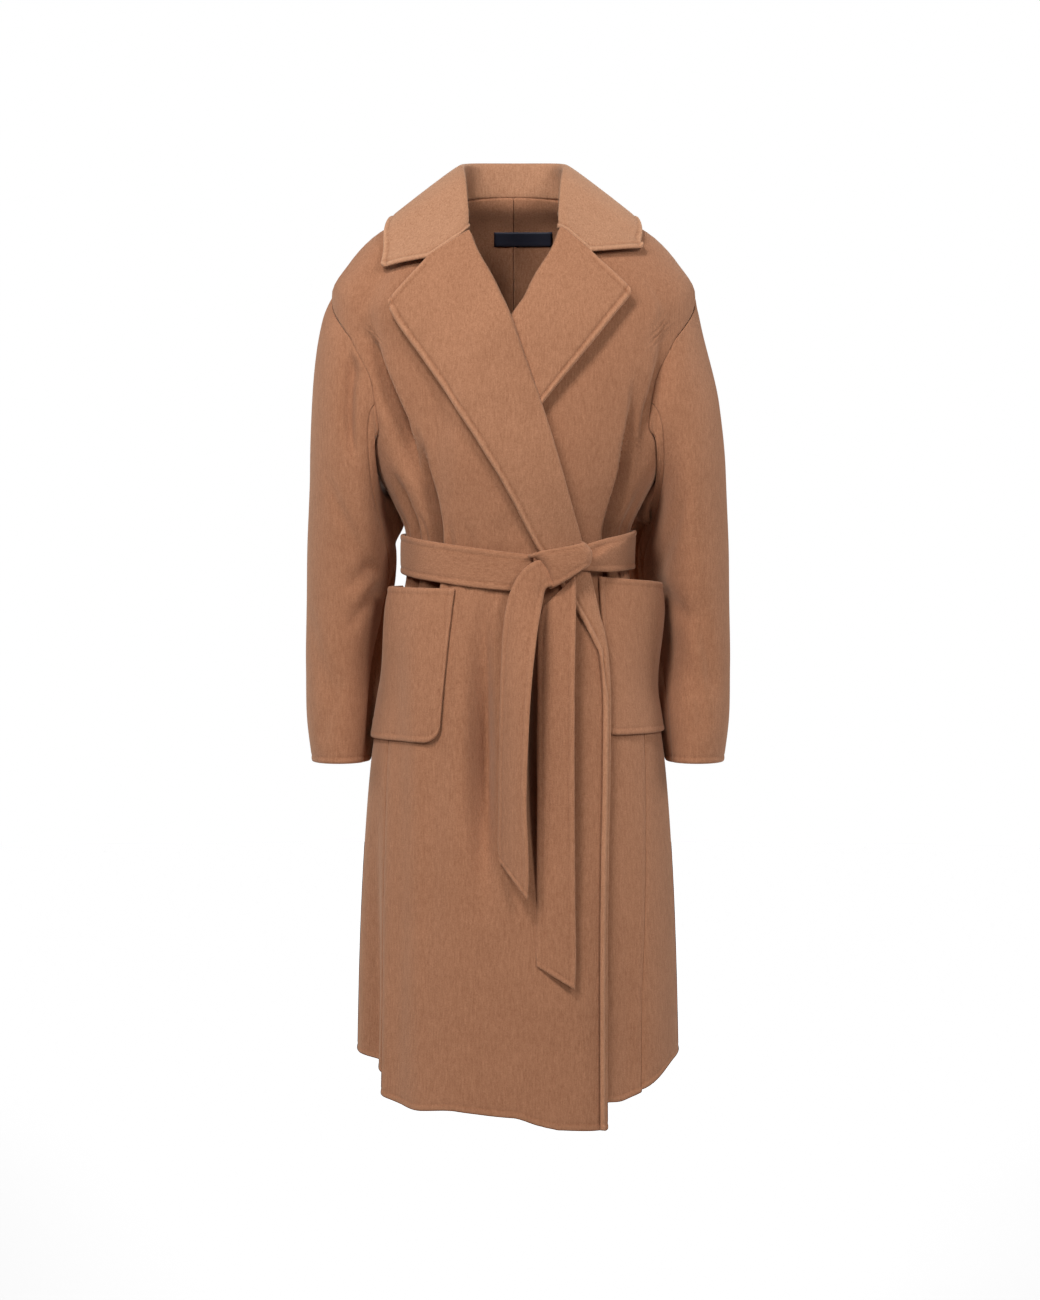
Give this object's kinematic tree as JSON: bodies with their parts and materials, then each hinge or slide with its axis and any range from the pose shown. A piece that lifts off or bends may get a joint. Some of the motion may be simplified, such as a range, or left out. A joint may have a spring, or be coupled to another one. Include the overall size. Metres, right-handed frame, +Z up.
{
  "type": "long coat",
  "caption": "Long belted wrap coat with a notched collar, wide lapels, drop-shoulder sleeves and patch pockets, hollow as worn.",
  "frame": {"origin": "between the points where the shoulder seams meet the neck seam, where the wearer's shoulders hold the coat", "axes": "+Z up, +X towards the wearer's left, +Y towards the wearer's back, so the front faces -Y"},
  "size_m": [0.533, 0.3523, 1.1891],
  "materials": {
    "wool": "brushed double-faced wool, camel, soft nap",
    "label": "plain dark navy woven label"
  },
  "bodies": {
    "root": {"front_over": "wool", "front_under": "wool", "back_right": "wool", "back_left": "wool", "sleeve_top_right": "wool", "sleeve_top_left": "wool", "sleeve_under_right": "wool", "sleeve_under_left": "wool", "collar": "wool", "pocket_right": "wool", "pocket_left": "wool", "belt_band": "wool", "belt_knot": "wool", "belt_tail_front": "wool", "belt_tail_back": "wool", "neck_label": "label"}
  },
  "joints": []
}
